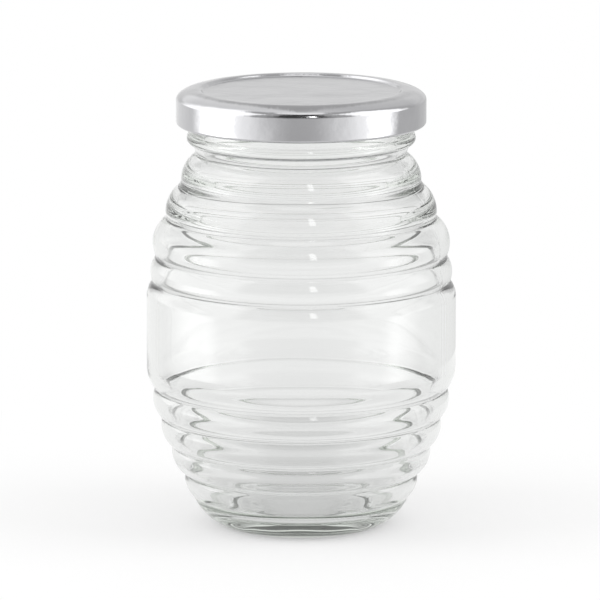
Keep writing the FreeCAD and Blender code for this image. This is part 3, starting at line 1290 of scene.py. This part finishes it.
@dataclass
class Surroundings:
    """The pale room round the object, in brightness, by turn from the front and height in degrees.

    A span is where a change begins and where it ends. A turn is positive on the right.
    """

    ambient: float = 0.75
    horizon: Span = (-1.0, 3.0)
    table_front: float = 0.68
    table_side: float = 1.98
    table_peak: float = 2.0
    table_far: float = 0.5
    table_rise: Span = (5.0, 80.0)
    table_peak_turn: Span = (60.0, 76.0)
    table_right_end: Span = (70.0, 104.0)
    table_left_end: Span = (84.0, 122.0)
    table_right_share: float = 0.93
    table_left_share: float = 0.85
    dark: float = 0.08
    low_front: float = 0.35
    low_front_top: Span = (10.0, 18.0)
    high_front: float = 0.5
    high_front_foot: Span = (72.0, 80.0)
    front_edge: Span = (18.0, 38.0)
    strip: float = 4.5
    strip_left: Span = (6.0, 8.5)
    strip_right: Span = (11.5, 14.0)
    strip_foot: Span = (19.0, 23.0)
    strip_top: Span = (46.0, 50.0)
    walls: float = 0.62
    back: float = 0.86
    back_fall: float = 0.3
    back_fall_height: Span = (9.0, 24.0)
    back_rise: float = 0.12
    back_rise_height: Span = (45.0, 75.0)
    back_edge: Span = (112.0, 150.0)
    glow_left: float = 0.25
    glow: float = 0.3
    glow_foot: Span = (12.0, 20.0)
    glow_edge: Span = (170.0, 178.0)
    soft_box: float = 2.1
    box_edge: Span = (44.0, 60.0)
    box_right_end: Span = (104.0, 120.0)
    box_left_end: Span = (124.0, 150.0)
    box_top: Span = (58.0, 68.0)
    overhead: float = 1.4
    overhead_edge: Span = (76.0, 79.0)
    sweep: float = 0.84
    sweep_side: float = 0.35
    sweep_side_edge: Span = (130.0, 95.0)
    sweep_fall: float = 0.74
    sweep_fall_height: Span = (8.5, 19.0)
    ceiling: float = 0.3
    ceiling_foot: Span = (48.0, 75.0)
    side_room: float = 0.4
    side_room_edge: Span = (118.0, 142.0)
    window: float = 1.3
    window_front: Span = (42.0, 56.0)
    window_back: Span = (84.0, 98.0)
    window_top: Span = (34.0, 48.0)

    def build(self) -> None:
        """Make the world."""
        world = bpy.data.worlds.new("studio")
        bpy.context.scene.world = world
        graph = Graph(world)
        direction = graph.node("ShaderNodeTexCoord").outputs["Generated"]
        parts = graph.node("ShaderNodeSeparateXYZ", None, {0: direction})
        x, y, z = (graph.value(parts.outputs[i]) for i in range(3))
        height = z.maths("ARCSINE") * math.degrees(1.0)
        turn = x.maths("ARCTAN2", -y) * math.degrees(1.0)
        above = height.fade(*self.horizon)
        path = graph.node("ShaderNodeLightPath").outputs
        glossy = graph.value(path["Is Glossy Ray"])
        passed = graph.value(path["Is Transmission Ray"])
        camera = graph.value(path["Is Camera Ray"])
        mirrored = self.table(turn).toward(self.room(turn, height), above)
        through = self.table_through(turn).toward(self.room_through(turn, height), above)
        level = (1 - glossy) * self.ambient + glossy * mirrored
        level = level.toward(through, passed).toward(1.0, camera)
        white = (1.0, 1.0, 1.0, 1.0)
        light = graph.node("ShaderNodeBackground", None, {"Color": white, "Strength": level})
        graph.node("ShaderNodeOutputWorld", None, {"Surface": light.outputs[0]})

    def table(self, turn: Value) -> Value:
        """What is mirrored from below the horizon: grey in front, bright at the sides.

        Args:
            turn: The turn from the front.

        Returns:
            The brightness.
        """
        away = abs(turn)
        bright = self.table_front + away.fade(*self.table_rise) * (self.table_side - self.table_front)
        bright = bright + away.fade(*self.table_peak_turn) * self.table_peak
        right_end = turn.fade(*self.table_right_end) * self.table_right_share
        left_end = (-turn).fade(*self.table_left_end) * self.table_left_share
        return bright.toward(self.table_far, right_end + left_end)

    def room(self, turn: Value, height: Value) -> Value:
        """What is mirrored from above the horizon: two soft boxes, a strip and a dark front.

        Args:
            turn: The turn from the front.
            height: The height above the horizon.

        Returns:
            The brightness.
        """
        away = abs(turn)
        left = 1 - turn.fade(-1.0, 1.0)
        front = self.dark + (1 - height.fade(*self.low_front_top)) * self.low_front
        front = front + height.fade(*self.high_front_foot) * self.high_front
        strip = turn.fade(*self.strip_left) * (1 - turn.fade(*self.strip_right))
        strip = strip * height.fade(*self.strip_foot) * (1 - height.fade(*self.strip_top)) * self.strip
        glow = height.fade(*self.glow_foot) * (1 - away.fade(*self.glow_edge))
        glow = glow * (left * self.glow_left + self.glow)
        back = self.back - height.fade(*self.back_fall_height) * self.back_fall
        back = back + height.fade(*self.back_rise_height) * self.back_rise + glow
        around = (front + strip).toward(self.walls, away.fade(*self.front_edge))
        around = around.toward(back, away.fade(*self.back_edge))
        ends = turn.fade(*self.box_right_end) + (-turn).fade(*self.box_left_end)
        box = away.fade(*self.box_edge) * (1 - ends) * (1 - height.fade(*self.box_top))
        around = around.toward(self.soft_box, box)
        return around.toward(self.overhead, height.fade(*self.overhead_edge))

    def table_through(self, turn: Value) -> Value:
        """What the glass lets through from below the horizon: the pale sweep.

        Args:
            turn: The turn from the front.

        Returns:
            The brightness.
        """
        return self.sweep + abs(turn).fade(*self.sweep_side_edge) * self.sweep_side

    def room_through(self, turn: Value, height: Value) -> Value:
        """What the glass lets through from above the horizon: the sweep's top edge and the dark.

        Args:
            turn: The turn from the front.
            height: The height above the horizon.

        Returns:
            The brightness.
        """
        away = abs(turn)
        back = self.sweep - height.fade(*self.sweep_fall_height) * self.sweep_fall
        back = back + height.fade(*self.ceiling_foot) * self.ceiling
        window = away.fade(*self.window_front) * (1 - away.fade(*self.window_back))
        window = window * (1 - height.fade(*self.window_top))
        back = back.toward(self.side_room, 1 - away.fade(*self.side_room_edge))
        return back.toward(self.window, window)


@dataclass
class Floor:
    """The pale floor: white where it is seen, with the object's shadow kept, and a painted shadow
    behind the jar where it is seen through the glass.
    """

    radius: float = 0.24
    sides: int = 96
    colour: float = 0.80
    seen_colour: float = 0.97
    contact_white: float = 0.25
    shadow_share: float = 0.38
    contact_edge: Span = (0.015, 0.034)
    shadow_edge: Span = (0.05, 0.16)
    # The painted shadow that the glass sees behind the jar: its glow, the sweep's glow round it, where
    # it fades out, and how much narrower it is across.
    painted_shadow_level: float = 0.66
    sweep: float = 0.84
    painted_shadow_edge: Span = (0.03, 0.13)
    painted_shadow_narrowing: float = 2.4

    def build(self) -> bpy.types.Object:
        """Lay the floor.

        Returns:
            The floor.
        """
        Bench.clear()
        bpy.ops.mesh.primitive_circle_add(vertices=self.sides, radius=self.radius, fill_type="NGON")
        floor = bpy.context.object
        floor.name = "floor"
        floor.data.materials.append(self.material())
        return floor

    def material(self) -> bpy.types.Material:
        """Make the floor's material.

        Returns:
            The material.
        """
        material = bpy.data.materials.new("pale_floor")
        graph = Graph(material)
        reach = graph.distance(graph.coordinates())
        near_white = reach.fade(*self.contact_edge) * (1 - self.shadow_share - self.contact_white)
        whiteness = near_white + self.contact_white + reach.fade(*self.shadow_edge) * self.shadow_share
        path = graph.node("ShaderNodeLightPath").outputs
        passed = graph.value(path["Is Transmission Ray"])
        seen = graph.value(path["Is Camera Ray"]).at_least(path["Is Glossy Ray"]).at_least(passed)
        shaded = graph.blend(whiteness, graph.diffuse(self.seen_colour), graph.emission(1.0))
        # Seen through the glass, the floor is a plain glow with a painted shadow: dimmer right behind
        # the jar and narrow across, brightening outwards to the pale sweep.
        painted_shadow_place = graph.stretched((self.painted_shadow_narrowing, 1.0, 1.0))
        behind = graph.distance(painted_shadow_place).fade(*self.painted_shadow_edge)
        through = graph.blend(behind, graph.emission(self.painted_shadow_level), graph.emission(self.sweep))
        shown = graph.blend(passed, shaded, through)
        graph.finish_with(graph.blend(seen, graph.diffuse(self.colour), shown))
        return material


@dataclass
class Studio:
    """The floor, the surroundings, the lamps and the camera."""

    lamp_size: tuple[float, float] = (0.9, 1.1)
    lamp_distance: float = 1.25
    lamp_height: float = 0.75
    lamp_aim: float = 0.06
    lamp_turn: float = 78.0
    lamp_power: float = 8.0
    lens: float = 360.0
    sensor: float = 36.0
    camera_place: Vector = (-0.00031, -1.5655, 0.3649)
    camera_pitch: float = 11.02
    bounces: int = 28
    mirror_bounces: int = 12

    def lamp(self, side: Side) -> None:
        """Stand a large soft lamp on one side.

        Args:
            side: The side.
        """
        turn = math.radians(self.lamp_turn) * side.value
        place = (
            self.lamp_distance * math.sin(turn),
            -self.lamp_distance * math.cos(turn),
            self.lamp_height,
        )
        bpy.ops.object.light_add(type="AREA", location=place)
        lamp = bpy.context.object
        lamp.name = "soft_lamp_" + side.name.lower()
        lamp.data.shape = "RECTANGLE"
        lamp.data.size, lamp.data.size_y = self.lamp_size
        lamp.data.energy = self.lamp_power
        lamp.visible_glossy = lamp.visible_transmission = False
        tilt = math.atan2(self.lamp_distance, self.lamp_height - self.lamp_aim)
        lamp.rotation_euler = (tilt, 0.0, turn)

    def camera(self) -> None:
        """Stand the camera in front, a little above the cap."""
        Bench.clear()
        angle = math.radians(90.0 - self.camera_pitch)
        bpy.ops.object.camera_add(location=self.camera_place, rotation=(angle, 0.0, 0.0))
        camera = bpy.context.object
        camera.data.sensor_width = self.sensor
        camera.data.lens = self.lens
        camera.data.clip_start = 0.05
        camera.data.clip_end = 60.0
        bpy.context.scene.camera = camera

    def build(self) -> None:
        """Set up the whole studio."""
        scene = bpy.context.scene
        scene.view_settings.view_transform = "Standard"
        scene.cycles.max_bounces = self.bounces
        scene.cycles.transmission_bounces = self.bounces
        scene.cycles.glossy_bounces = self.mirror_bounces
        Floor().build()
        Surroundings().build()
        for side in Side:
            self.lamp(side)
        self.camera()


def fit(piece: bpy.types.Object, node: str) -> None:
    """Let a piece stand for its node of the frame, and report it.

    Args:
        piece: The piece.
        node: The node that it stands for.
    """
    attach(piece, "root")
    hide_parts(node)
    faces = sum(len(polygon.vertices) - 2 for polygon in piece.data.polygons)
    LOG.info("%s: %d triangles", piece.name, faces)


def main() -> None:
    """Build the object's pieces in order, and the studio round them."""
    logging.basicConfig(level=logging.INFO, format="%(name)s %(message)s")
    fit(Glass().build(), "jar")
    fit(Cap().build(), "lid")
    fit(Seal().build(), "seal_ring")
    Studio().build()


if __name__ == "__main__":
    main()
